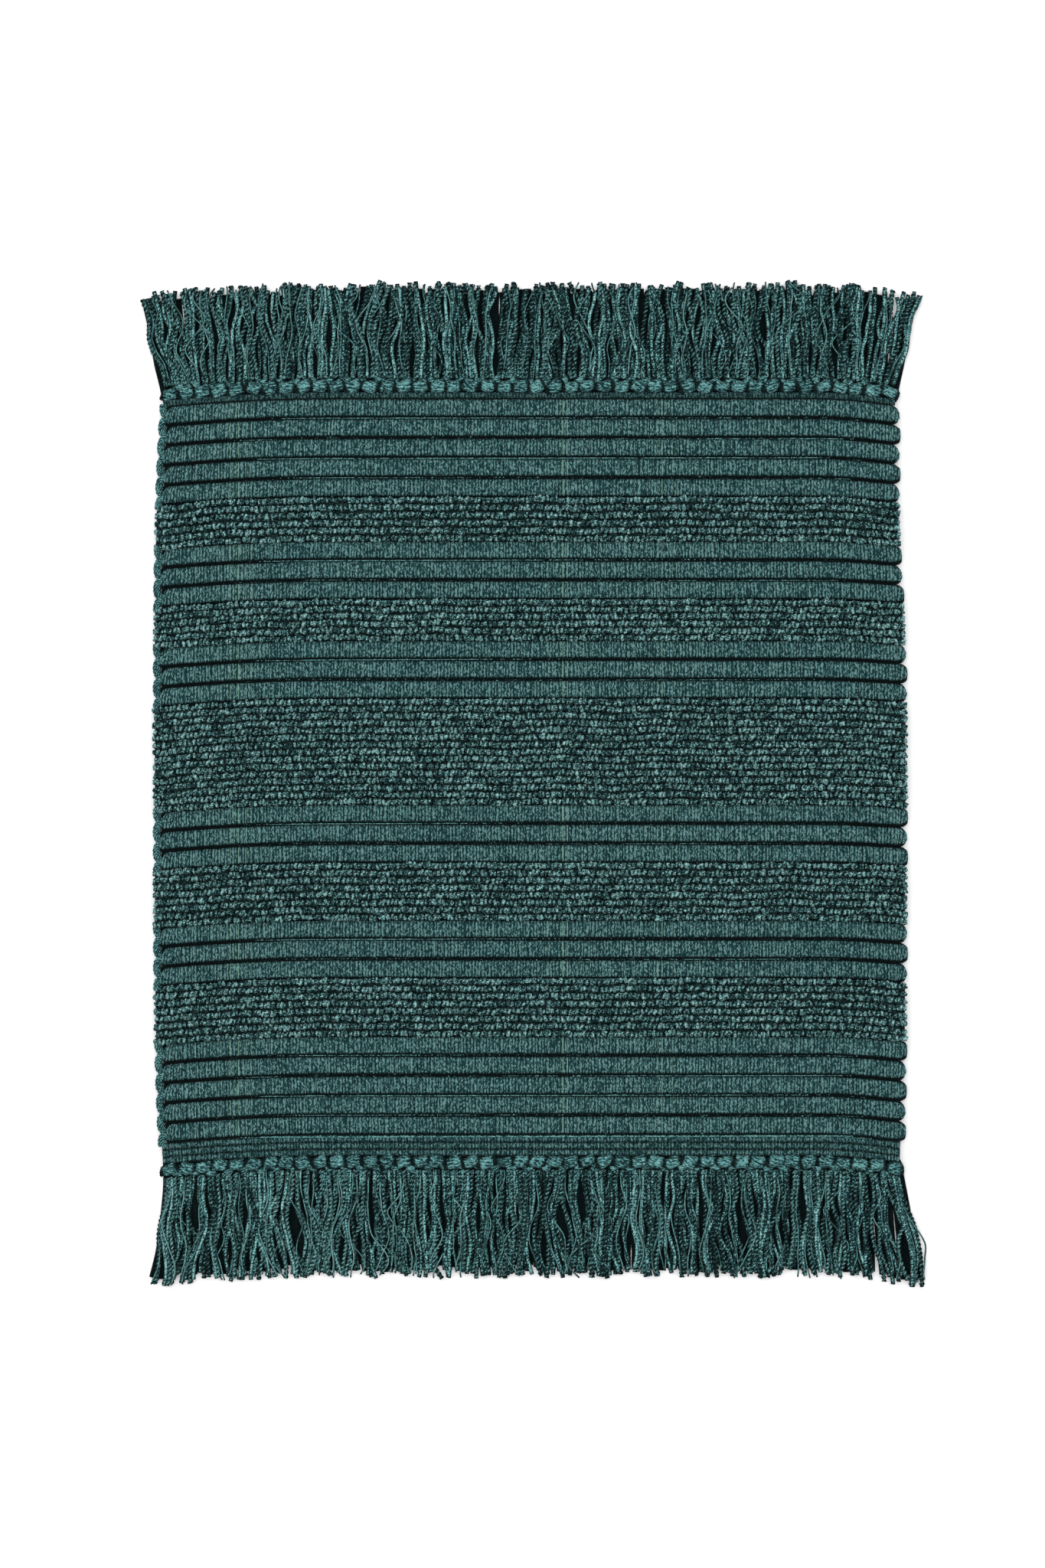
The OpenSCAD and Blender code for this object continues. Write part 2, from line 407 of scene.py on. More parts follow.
@dataclass(frozen=True)
class CottonYarn:
    """A finish of dyed cotton yarn with darker and lighter fibres spun in, and painted shade where a piece marks its
    recesses.

    Attributes:
        name: The finish's name.
        slot: The slot that it stands for; not used.
        grain: How its fibres lie.
        body: Main colour.
        dark: Colour of the darkest fibres.
        light: Colour of the lightest fibres.
        shade: Colour of the painted shade deep between yarns.
        contrast: How strongly the flecks show.
        tone: How much one yarn differs from the next.
        hollow: How strongly the painted shade darkens the marked places, from 0 to 1.
        furrow: How dark the painted shade gets in the furrows between plies or crimp ridges, from 0 to 1; it also sets
            the bump's depth there.
        crimp: Length in metres of one cross ridge of a crimped yarn, or 0.
        crease_shade: How dark the painted shade in the creases between warp yarns is.
        relief: Depth in metres of the fine surface relief.
        faded: Strength of the paler streaks that run with the warp.
    """

    name: str
    slot: str
    grain: Grain
    body: Colour = (0.038, 0.108, 0.110, 1.0)
    dark: Colour = (0.006, 0.024, 0.027, 1.0)
    light: Colour = (0.135, 0.260, 0.255, 1.0)
    shade: Colour = (0.0006, 0.0024, 0.0028, 1.0)
    contrast: float = 1.0
    tone: float = 0.3
    hollow: float = 0.96
    furrow: float = 0.0
    crimp: float = 0.0
    crease_shade: float = 0.0
    relief: float = 0.35 * MM
    faded: float = 0.0

    def build(self) -> bpy.types.Material:
        """Builds the finish's material.

        Returns:
            The material.
        """
        material = bpy.data.materials.new(self.name)
        material.use_nodes = True
        material.node_tree.nodes.clear()
        g = Graph(material.node_tree)
        where = g.out("ShaderNodeTexCoord", output="Object")
        x, y, z = g.split(where)
        wide, long, tall = (1.0 / (mm * MM) for mm in self.grain.value)
        bead = g.vector(x * wide, y * long, z * tall)
        fibre = g.noise(bead, 0.6, 1.0)
        cells = g.node("ShaderNodeTexVoronoi", {"feature": "F1"}, {"Vector": bead, "Scale": 1.0})
        chance = g.split(Num(g, cells.outputs["Color"]))[0] - 0.5
        fleck = chance * 1.5 - (Num(g, cells.outputs["Distance"]) - 0.45) * 1.3
        cloud = g.noise(where, 1.0 / (22 * MM), 1.0)
        value = (fibre + fleck) * self.contrast + cloud * 0.2 + self.read(g, "tone") * self.tone + 0.5
        # Painted shade in the creases between warp yarns, with its mean added back.
        if self.crease_shade:
            value = value - (self.read(g, "yarn").cos() * 0.5 + 0.5) ** 2 * self.crease_shade + self.crease_shade * 0.37
        ridge = self.read(g, "furrow")
        if self.crimp:
            along, around = self.read(g, "along"), self.read(g, "around")
            ridge = ((along * (TAU / self.crimp) + (around * 2.0).sin() * 1.4).sin() * 0.5 + 0.5)
        # Painted shade in the furrows between plies or between the crimp's ridges.
        value = value - ridge * (0.5 * self.furrow)
        colour = g.mix(value.rise(0.05, 0.55), self.dark, self.body)
        colour = g.mix(value.rise(0.5, 1.15), colour, self.light)
        if self.faded:
            streak = g.wander(x * (1 / (1.7 * MM)), 1.0).rise(0.12, 0.3) * g.wander(x * (1 / (60 * MM))).rise(0.0, 0.2)
            colour = g.mix(streak * self.faded, colour, (0.16, 0.29, 0.22, 1.0))
        # Painted shade: the piece's mark mixes the colour towards the shade colour, for the darkness between and under
        # yarns.
        depth = self.read(g, "hollow") * self.hollow
        colour = g.mix(depth.least(1.0), colour, self.shade)
        height = fibre * 0.9 + fleck * 0.5 - ridge * self.furrow
        bump = g.out("ShaderNodeBump", values={"Strength": 0.9, "Distance": self.relief, "Height": height})
        skin = g.out("ShaderNodeBsdfPrincipled", values={
            "Base Color": colour, "Roughness": 0.95, "Specular IOR Level": 0.05, "Sheen Weight": 0.03,
            "Sheen Roughness": 0.55, "Sheen Tint": (0.55, 0.85, 0.85, 1.0), "Normal": bump})
        g.node("ShaderNodeOutputMaterial", values={"Surface": skin})
        return material

    @staticmethod
    def read(g: Graph, name: str) -> Num:
        """Reads one of a piece's marks."""
        return g.out("ShaderNodeAttribute", {"attribute_name": name}, output="Fac")


def corners(node: str) -> tuple[Point, Point]:
    """Lowest and highest corner of a frame node, as plain numbers."""
    low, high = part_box(node)
    return tuple(low), tuple(high)


def dress(piece: bpy.types.Object, nodes: Sequence[str], body: str | None = "mat") -> None:
    """Ties a finished piece to the frame and reports it.

    Args:
        piece: The piece.
        nodes: The frame nodes that it stands for.
        body: The body that it rides on, or none to leave it unattached.
    """
    if body:
        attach(piece, body)
    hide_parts(*nodes)
    faces = sum(len(p.vertices) - 2 for p in piece.data.polygons)
    log.info("%s stands for %s: %d triangles", piece.name, ", ".join(nodes), faces)


@dataclass
class WrappedRibs:
    """The 22 ribs: warp yarns packed side by side over a thick filler.

    Attributes:
        finish: The warp's finish.
        near_end: Where the ribs end at the left selvedge.
        far_end: Where they end at the right selvedge.
        bundle: Mean width of one bundle of warp yarns.
        sides: Number of faces round a rib.
        squareness: Power that flattens the ribs' tops; 1 is an ellipse.
        end_round: Length over which a rib closes at its ends.
        groups: Number of ribs in each group, from the front.
    """

    finish: CottonYarn
    near_end: float = -252.0 * MM
    far_end: float = 255.5 * MM
    bundle: float = 2.2 * MM
    sides: int = 16
    squareness: float = 0.6
    end_round: float = 3.2 * MM
    groups: tuple[int, ...] = (5, 3, 3, 3, 3, 5)

    def recipe(self) -> Recipe:
        """Builds the tree for one rib: a grid that is rolled up, with a crease at every third column."""
        r = Recipe("Wrapped rib", {"Middle": 0.0, "Width": 13.6 * MM, "Height": 9 * MM,
                                   "Near end": self.near_end, "Far end": self.far_end, "Seed": 1})
        bundles = round((self.far_end - self.near_end) / self.bundle)
        columns = 3 * bundles + 1
        grid = r.out("GeometryNodeMeshGrid", values={"Size X": 1.0, "Size Y": 1.0, "Vertices X": columns,
                                                     "Vertices Y": self.sides + 1})
        across, around, _ = r.place()
        column = ((across + 0.5) * (columns - 1)).round()
        bundle = (column / 3).floor()
        crease = (column - bundle * 3) < 0.5
        near, far = r["Near end"], r["Far end"]
        x = near + (across + 0.5) * (far - near)
        turn = (around + 0.5) * -TAU
        cosine, sine = turn.cos(), turn.sin()
        out, top = cosine.bent(self.squareness), sine.rise(0.0, 0.6)
        receding = cosine.rise(-0.4, 1.0) * top * (x - near).rise(13 * MM, 0.0, False) * (3.6 * MM)
        receding = receding - cosine.rise(0.3, -1.0) * top * (far - x).rise(9 * MM, 0.0, False) * (3.2 * MM)
        shift = r.wander(x * (1 / (5.2 * MM)), 1.0) * (3.0 * MM)
        draw = r.chance(bundle, 1)
        depth = crease * (draw * draw * 0.95 + 0.22) + (1 - crease) * r.chance(bundle, 2) * 0.3
        depth = depth + crease * (0.985 - draw).rise(0.0, -0.004, False) * 1.6
        edge = ((x - near) * (sine.rise(0.1, -0.4) * 2.0 + 1.0)).least((far - x) * 0.5) / self.end_round
        closed = (1 - (1 - edge.most(0.0).least(1.0)) ** 2.4) ** (1 / 2.4)
        swell = r.wander(x * (1 / (17 * MM)) + r["Seed"] * 7.7) * 0.05 + 0.99
        ragged = r.wander(x * (1 / (2.6 * MM)) + r["Seed"] * 3.1) * 0.07 + 1.01 - depth * sine.rise(-0.2, 0.6) * 0.07
        y = r["Middle"] + out * closed * swell * ragged * r["Width"] * 0.53
        half = r["Height"] * 0.5
        z = half + sine.bent(self.squareness) * closed * (1 - depth / 5.2) * swell * half
        # Painted shade on the rib's flanks, darkening the front flank gradually and the back flank sharply as if lit
        # from the back, and painted shade in the creases.
        side = ((out - 0.79) / 0.05).most((-out - 0.64) / 0.14)
        grid = r.mark(grid, tone=draw - 0.5, hollow=(crease * (draw * 0.5)).most(side), yarn=column * (TAU / 3))
        mesh = r.move(grid, x + (shift + receding) * closed, y, z)
        mesh = r.out("GeometryNodeMergeByDistance", values={"Geometry": mesh, "Distance": 0.01 * MM})
        return r.close(r.lay(mesh))

    def build(self) -> list[bpy.types.Object]:
        """Makes every rib.

        Returns:
            The ribs, from the front.
        """
        recipe, material, ribs = self.recipe(), self.finish.build(), []
        for number in range(1, sum(self.groups) + 1):
            node = f"rib_{number:02d}"
            low, high = corners(node)
            nudge = (number % 2) * self.bundle / 2
            rib = recipe.make(f"warp_{node}", material, {
                "Middle": (low[1] + high[1]) / 2, "Width": high[1] - low[1], "Height": high[2] - low[2],
                "Near end": self.near_end + nudge, "Far end": self.far_end + nudge, "Seed": number})
            dress(rib, [node])
            ribs.append(rib)
        return ribs


@dataclass
class FillerRopes:
    """The thick filler that runs out and back inside each rib and turns at both selvedges.

    Attributes:
        finish: The filler's finish.
        near_x: Middle of the turns at the left selvedge.
        far_x: Middle of the turns at the right selvedge.
        radius: Mean radius of the rope.
        height: Height of its middle above the floor.
        threads: Number of threads that show round it.
        lay_length: Length of one whole twist.
    """

    finish: CottonYarn
    near_x: float = -249.8 * MM
    far_x: float = 251.2 * MM
    radius: float = 2.45 * MM
    height: float = 4.6 * MM
    threads: int = 7
    lay_length: float = 17 * MM

    def recipe(self) -> Recipe:
        """Builds the tree that draws the twisted rope along its route."""
        r = Recipe("Filler rope", {"Twist": self.lay_length, "Near end": self.near_x, "Seed": 1}, True)
        length = r.out("GeometryNodeSplineParameter", output="Length")
        x, _, _ = r.place()
        plump = (r["Near end"] - x).rise(-1.0 * MM, 3.4 * MM) * 0.56 + 1.0
        path = r.out("GeometryNodeSetCurveRadius", values={"Curve": r["Path"], "Radius": plump})
        path = r.out("GeometryNodeSetCurveTilt", values={"Curve": path, "Tilt": length * TAU / r["Twist"]})
        rope = r.sweep(path, r.ring(self.threads * 4, self.radius, self.threads, 0.14))
        # Painted shade on the rope's steep sides.
        return r.close(r.lay(r.mark(rope, hollow=r.slope(0.55, 0.1) * 0.8)))

    def route(self, first: float, pitch: float, count: int) -> list[Point]:
        """Lists the points of one group's rope, as in the frame.

        Args:
            first: Middle of the group's first rib.
            pitch: Distance between two ribs.
            count: Number of ribs in the group.

        Returns:
            The points.
        """
        half_gap = self.radius + 0.1 * MM
        turn = pitch / 2 - 1.3 * MM
        inside = self.near_x + 9 * MM

        def bend(x: float, y: float, radius: float, side: int, steps: int) -> list[Point]:
            """Half a turn round (x, y) that bulges to the given side."""
            wide, climb = (0.66, 0.9 * MM) if side < 0 else (0.8, 0.0)
            return [(x + side * radius * wide * abs(math.cos(a)) ** 0.7, y + radius * math.sin(a),
                     self.height + climb * math.sin(a))
                    for a in (math.pi * (i / steps - 0.5) for i in range(steps + 1))]

        points = bend(self.near_x, first - pitch / 2, turn, -1, 20)[8:]
        for number in range(count):
            y = first + number * pitch
            points += [(inside, y - half_gap, self.height)]
            points += bend(self.far_x, y, half_gap, 1, 12)
            points += [(inside, y + half_gap, self.height)]
            last = number == count - 1
            points += bend(self.near_x, y + pitch / 2, turn, -1, 20)[:13 if last else 21]
        return points

    def build(self, groups: Sequence[int]) -> list[bpy.types.Object]:
        """Makes one rope for each group of ribs.

        Args:
            groups: Number of ribs in each group, from the front.

        Returns:
            The ropes, from the front.
        """
        recipe, material, ropes, done = self.recipe(), self.finish.build(), [], 0
        for letter, count in zip("abcdef", groups):
            low, high = corners(f"rib_{done + 1:02d}")
            curve = bpy.data.curves.new(f"route_{letter}", "CURVE")
            curve.dimensions = "3D"
            points = self.route((low[1] + high[1]) / 2, high[1] - low[1], count)
            spline = curve.splines.new("POLY")
            spline.points.add(len(points) - 1)
            spline.points.foreach_set("co", [c for p in points for c in (*p, 1.0)])
            rope = recipe.make(f"filler_rope_{letter}", material, {"Seed": 1}, curve)
            dress(rope, [f"filler_cord_{letter}"])
            ropes.append(rope)
            done += count
        return ropes


@dataclass
class PileBands:
    """The five bands of loop pile, each with the ground cloth that its loops stand on.

    Attributes:
        loops: The loops' finish.
        ground: The ground cloth's finish.
        column: Distance between two loops in a row.
        row: Distance between two rows, before they are spread over the band.
        yarn: Radius of a loop's yarn.
        arch: Radius of a loop's arch.
        stretch: How much taller than round an arch is.
        inset: How far the outer rows' middles lie inside the band.
        half_width: Half the width that the loops cover.
    """

    loops: CottonYarn
    ground: CottonYarn
    column: float = 2.9 * MM
    row: float = 4.6 * MM
    yarn: float = 1.38 * MM
    arch: float = 1.05 * MM
    stretch: float = 1.45
    inset: float = 1.3 * MM
    half_width: float = 256.0 * MM

    def loop_recipe(self) -> Recipe:
        """Builds the tree for one band of loops: rows of small two-ply arches, none quite alike."""
        r = Recipe("Loop pile", {"Front": 0.0, "Back": 0.04, "Top": 11.3 * MM, "Rows": 8, "Seed": 1})
        columns = round(2 * self.half_width / self.column)
        row = (r.index() / columns).floor()
        column = r.index() - row * columns
        step = (r["Back"] - r["Front"] - 2 * self.inset) / (r["Rows"] - 1.0)
        key = r.index()
        x = (column + 0.5 + (row % 2 - 0.5) * 0.5) * self.column - self.half_width
        x = x + r.chance(key, 1, -0.65, 0.65) * MM
        x = x.least(self.half_width - 1.6 * MM).most(1.6 * MM - self.half_width)
        drift = r.wander(x * (1 / (21 * MM)) + row * 5.3 + r["Seed"] * 9.1, 1.0) * (1.9 * MM)
        drift = drift + r.wander(x * (1 / (35 * MM)) + r["Seed"] * 4.3) * (1.6 * MM)
        y = r["Front"] + self.inset + row * step + drift + r.chance(key, 2, -0.5, 0.5) * MM
        crown = self.arch + self.yarn
        z = r["Top"] - crown * self.stretch - r.chance(key, 3, 0.0, 0.8) * MM
        points = r.scatter(r["Rows"] * columns, x, y, z)
        points = r.mark(points, tone=r.chance(key, 4, -0.5, 0.5))
        arc = r.out("GeometryNodeCurveArc", {"mode": "RADIUS"}, {
            "Resolution": 5, "Radius": self.arch, "Start Angle": math.radians(-18),
            "Sweep Angle": math.radians(216)})
        arc = r.out("GeometryNodeTransform", values={"Geometry": arc, "Rotation": (math.pi / 2, 0.0, math.pi / 2)})
        factor = r.out("GeometryNodeSplineParameter", output="Factor")
        arc = r.out("GeometryNodeSetCurveTilt", values={"Curve": arc, "Tilt": factor * 3.6})
        arch = r.sweep(arc, r.ring(6, self.yarn, 2, 0.2))
        spin = r.out("FunctionNodeEulerToRotation", values={"Euler": r.vector(
            r.chance(key, 5, -0.3, 0.3), r.chance(key, 6, -0.35, 0.35), r.chance(key, 7, -0.6, 0.6))})
        size = r.chance(key, 8, 0.9, 1.12)
        loops = r.out("GeometryNodeInstanceOnPoints", values={
            "Points": points, "Instance": arch, "Rotation": spin,
            "Scale": r.vector(size * 0.92, size * r.chance(key, 9, 0.85, 1.15), size * self.stretch)})
        loops = r.out("GeometryNodeRealizeInstances", values={"Geometry": loops})
        px, py, pz = r.place()
        spot = r.vector(px, py, pz)
        wobble = [r.noise(spot, 1 / (2.3 * MM)), r.noise(r.vector(py, pz, px), 1 / (2.3 * MM))]
        loops = r.move(loops, px + wobble[0] * (1.3 * MM), py + wobble[1] * (1.3 * MM), pz)
        # Painted shade deep in the pile, below the loops' tops, and on their steep sides.
        loops = r.mark(loops, hollow=(r["Top"] - pz).rise(3.3 * MM, 5.6 * MM).most(r.slope(0.5, 0.05) * 0.65))
        return r.close(r.lay(loops))

    def ground_recipe(self) -> Recipe:
        """Builds the tree for one ground cloth: a thin slab with a plain weave on both faces."""
        r = Recipe("Ground cloth", {"Front": 0.0, "Back": 0.04, "Bottom": 3.1 * MM, "Top": 5.9 * MM, "Seed": 1})
        pick = 5.0 * MM
        slab = r.out("GeometryNodeMeshCube", values={
            "Size": (1.0, 1.0, 1.0), "Vertices X": 129, "Vertices Y": 19, "Vertices Z": 2})
        u, v, w = r.place()
        x = u * (2 * self.half_width - 3 * MM)
        y = r["Front"] + (v + 0.5) * (r["Back"] - r["Front"])
        weave = (x * (math.pi / (2.8 * MM))).sin() * (y * (math.pi / pick)).sin()
        z = r["Bottom"] + (w + 0.5) * (r["Top"] - r["Bottom"]) + weave * (0.35 * MM)
        # Painted shade on the ground cloth's top face, where it lies under the loops.
        slab = r.mark(slab, hollow=w.rise(-0.4, 0.4) * 0.85, tone=weave * 0.4)
        slab = r.move(slab, x, y, z)
        return r.close(r.lay(slab))

    def build(self) -> tuple[list[bpy.types.Object], list[bpy.types.Object]]:
        """Makes every band.

        Returns:
            The ground cloths and the loops, from the front.
        """
        weave, pile = self.ground_recipe(), self.loop_recipe()
        ground_skin, loop_skin = self.ground.build(), self.loops.build()
        cloths, bands = [], []
        for number in range(1, 6):
            low, high = corners(f"pile_ground_{number}")
            span = {"Front": low[1], "Back": high[1], "Seed": number}
            cloth = weave.make(f"ground_cloth_{number}", ground_skin, {**span, "Bottom": low[2], "Top": high[2]})
            rows = round((high[1] - low[1]) / self.row)
            top = corners(f"loop_pile_{number}")[1][2]
            band = pile.make(f"pile_loops_{number}", loop_skin, {**span, "Top": top, "Rows": rows})
            dress(cloth, [f"pile_ground_{number}"])
            dress(band, [f"loop_pile_{number}"])
            cloths.append(cloth)
            bands.append(band)
        return cloths, bands


class End(Enum):
    """The two ends of the mat, with the direction in which each reaches out along Y."""

    FRONT = -1
    BACK = 1

    @property
    def label(self) -> str:
        """The end's name in the frame's nodes."""
        return self.name.lower()


@dataclass
class Hem:
    """The short plain weave between the outer ribs and the knots.

    Attributes:
        finish: The weave's finish.
        pick: Distance between two thin picks, before they are spread over the hem.
        half_width: Half its width.
        relief: Height of a pick's ridge.
    """

    finish: CottonYarn
    pick: float = 4.2 * MM
    half_width: float = 253 * MM
    relief: float = 1.3 * MM

    def recipe(self) -> Recipe:
        """Builds the tree: a slab whose faces carry the picks' ridges and the warp's creases."""
        r = Recipe("Hem", {"Front": 0.0, "Back": 0.01, "Bottom": 2.9 * MM, "Top": 7.1 * MM, "Picks": 3, "Painted shade all over": 0.0,
                           "Seed": 1})
        columns = 3 * round(2 * self.half_width / (2.2 * MM)) + 1
        slab = r.out("GeometryNodeMeshCube", values={
            "Size": (1.0, 1.0, 1.0), "Vertices X": columns, "Vertices Y": 10, "Vertices Z": 2})
        u, v, w = r.place()
        column = ((u + 0.5) * (columns - 1)).round()
        bundle = (column / 3).floor()
        crease = (column - bundle * 3) < 0.5
        x = u * (2 * self.half_width)
        shift = r.wander(x * (1 / (5.2 * MM)), 1.0) * (3.0 * MM)
        pick = (v + 0.5) * r["Picks"]
        ridge = abs((pick * math.pi).sin()) ** 0.45
        key = bundle + pick.floor() * 997
        draw = r.chance(key, 1)
        low = (1 - ridge) * self.relief + crease * (draw * 0.7 + 0.2) * MM + r.chance(key, 2, 0.0, 0.35) * MM
        face = w.rise(-0.5, 0.5, False) * 2 - 1
        z = r["Bottom"] + (w + 0.5) * (r["Top"] - r["Bottom"]) - face * low
        # Painted shade in the warp's creases and in the low ground between picks, and painted shade all over where the
        # input asks for it.
        slab = r.mark(slab, tone=draw - 0.5, hollow=(crease * (draw * 0.4 + 0.1)).most((1 - ridge) * 0.95).most(r["Painted shade all over"]),
                      yarn=column * (TAU / 3))
        slab = r.move(slab, x + shift, r["Front"] + (v + 0.5) * (r["Back"] - r["Front"]), z)
        return r.close(r.lay(slab))

    def build(self) -> dict[End, bpy.types.Object]:
        """Makes the hem of each end.

        Returns:
            The hems by their ends.
        """
        recipe, material, hems = self.recipe(), self.finish.build(), {}
        for end in End:
            low, high = corners(f"{end.label}_hem")
            picks = max(1, round((high[1] - low[1]) / self.pick))
            under = 1.5 * MM
            front, back = (low[1] - under, high[1]) if end is End.FRONT else (low[1], high[1] + under)
            # The back hem gets painted shade all over, a shaded copy of the front.
            hems[end] = recipe.make(f"hem_cloth_{end.label}", material, {
                "Front": front, "Back": back, "Bottom": low[2], "Top": high[2], "Picks": picks,
                "Painted shade all over": 0.0 if end is End.FRONT else 0.5, "Seed": 5 + end.value})
            dress(hems[end], [f"{end.label}_hem"])
        return hems


@dataclass
class KnotRows:
    """The knots: two lumps of wound threads for each bundle of warp ends.

    Attributes:
        finish: The knots' finish.
        count: Number of knots at an end.
        threads: Number of threads that show round a lump.
    """

    finish: CottonYarn
    count: int = 44
    threads: int = 11

    def recipe(self) -> Recipe:
        """Builds the tree for one row: bean-shaped lumps, drawn along X and set in pairs."""
        r = Recipe("Knot row", {"Inner": 0.0, "Outer": 0.012, "Middle": 4.5 * MM, "Radius": 3.2 * MM,
                                "Pitch": 11.6 * MM, "Seed": 1})
        knot = (r.index() / 2).floor()
        half = r.index() - knot * 2
        key = r.index()
        x = (knot + 0.5 + half * 0.5 - self.count / 2) * r["Pitch"] + r.chance(key, 1, -0.7, 0.7) * MM
        y = r["Inner"] + (r["Outer"] - r["Inner"]) * (half * 0.3 + 0.46) + r.chance(key, 2, -0.5, 0.5) * MM
        z = r["Middle"] - half * (1.3 * MM)
        points = r.scatter(2 * self.count - 1, x, y, z)
        points = r.mark(points, tone=r.chance(key, 4, -0.35, 0.35))
        line = r.out("GeometryNodeCurvePrimitiveLine", values={"Start": (-1.0, 0.0, 0.0), "End": (1.0, 0.0, 0.0)})
        line = r.out("GeometryNodeResampleCurve", values={"Curve": line, "Count": 12})
        t = r.out("GeometryNodeSplineParameter", output="Factor") * 2 - 1
        line = r.move(line, t.bent(0.8) * 5.1 * MM, t * t * (1.0 * MM), t * t * (-1.2 * MM))
        girth = (1 - abs(t) ** 2.6 * 0.93) ** 0.5
        line = r.out("GeometryNodeSetCurveRadius", values={"Curve": line, "Radius": girth})
        line = r.out("GeometryNodeSetCurveTilt", values={"Curve": line, "Tilt": t * 0.7})
        bean = r.sweep(line, r.ring(3 * self.threads, 4.6 * MM, self.threads, 0.07, 0.72))
        bean = r.out("GeometryNodeStoreNamedAttribute", {"data_type": "FLOAT", "domain": "POINT"},
                     {"Geometry": bean, "Name": "tip", "Value": abs(r.place()[0]) / (5.1 * MM)})
        spin = r.out("FunctionNodeEulerToRotation", values={"Euler": r.vector(
            r.chance(key, 5, -0.4, 0.4), r.chance(key, 6, -0.1, 0.1), r.chance(key, 7, -0.45, 0.55))})
        size = 1 - half * 0.3
        beans = r.out("GeometryNodeInstanceOnPoints", values={
            "Points": points, "Instance": bean, "Rotation": spin,
            "Scale": r.vector(size * r.chance(key, 8, 0.9, 1.05), size * r.chance(key, 9, 0.85, 1.08), size)})
        beans = r.out("GeometryNodeRealizeInstances", values={"Geometry": beans})
        px, py, pz = r.place()
        dent = r.noise(r.vector(px, py, pz), 1 / (5 * MM))
        bulge = r.noise(r.vector(py, px, pz), 1 / (4 * MM))
        beans = r.move(beans, px + dent * (1.5 * MM), py + bulge * (1.8 * MM), pz.most(0.1 * MM))
        tip = r.out("GeometryNodeInputNamedAttribute", {"data_type": "FLOAT"}, {"Name": "tip"}, "Attribute")
        # Painted shade at the lumps' tips and on their steep sides.
        beans = r.mark(beans, hollow=tip.rise(0.74, 0.97).most(r.slope(0.82, 0.42)))
        return r.close(r.lay(beans))

    def build(self) -> dict[End, bpy.types.Object]:
        """Makes the row of knots of each end.

        Returns:
            The rows by their ends.
        """
        recipe, material, rows = self.recipe(), self.finish.build(), {}
        for end in End:
            low, high = corners(f"{end.label}_knots")
            inner, outer = (high[1], low[1]) if end is End.FRONT else (low[1], high[1])
            rows[end] = recipe.make(f"knots_{end.label}", material, {
                "Inner": inner, "Outer": outer, "Middle": (low[2] + high[2]) / 2,
                "Pitch": (high[0] - low[0]) / self.count, "Seed": 7 + end.value})
            dress(rows[end], [f"{end.label}_knots"])
        return rows


class Strand(Enum):
    """The kinds of yarn in a fringe, from the bottom of the heap to its top."""

    UNDER = "under_yarns_painted_shade"
    CRIMPED = "crimped_yarns"
    PLIED = "plied_cords"
    FINE = "fine_threads"


@dataclass(frozen=True)
class StrandSizes:
    """Sizes of one kind of yarn.

    Attributes:
        each: Number of yarns to a tassel.
        steps: Number of points along a yarn.
        sides: Number of corners of its outline.
        radius: Half its width.
        flat: Height over width.
        lobes: Number of plies.
        depth: Depth of the furrow between plies, as a share of the radius.
        twist: Length of one whole turn of the plies, or 0.
        low: Lowest layer that it lies in.
        high: Highest layer that it lies in.
        spread: Half the width over which a tassel's yarns are spaced at the root.
        jitter: How far each strays from its place in that width.
        stray: How far its tip strays sideways.
        wave: How far it waves from side to side on its way.
    """

    each: int
    steps: int
    sides: int
    radius: float
    flat: float
    lobes: int
    depth: float
    twist: float
    low: float
    high: float
    spread: float
    jitter: float
    stray: float
    wave: float


YARNS = {
    Strand.UNDER: StrandSizes(6, 16, 6, 2.2 * MM, 0.4, 1, 0.0, 0.0, 0.95 * MM, 1.2 * MM, 5.8, 0.5, 1.5, 1.0),
    Strand.CRIMPED: StrandSizes(4, 48, 8, 1.5 * MM, 0.8, 1, 0.0, 0.0, 1.8 * MM, 4.7 * MM, 5.8, 1.4, 3.6, 3.0),
    Strand.PLIED: StrandSizes(3, 74, 8, 1.5 * MM, 1.0, 2, 0.32, 6.0 * MM, 2.6 * MM, 4.9 * MM, 5.8, 1.8, 4.6, 4.6),
    Strand.FINE: StrandSizes(2, 34, 5, 0.6 * MM, 1.0, 1, 0.0, 0.0, 4.4 * MM, 5.8 * MM, 3.0, 3.5, 7.0, 8.0),
}


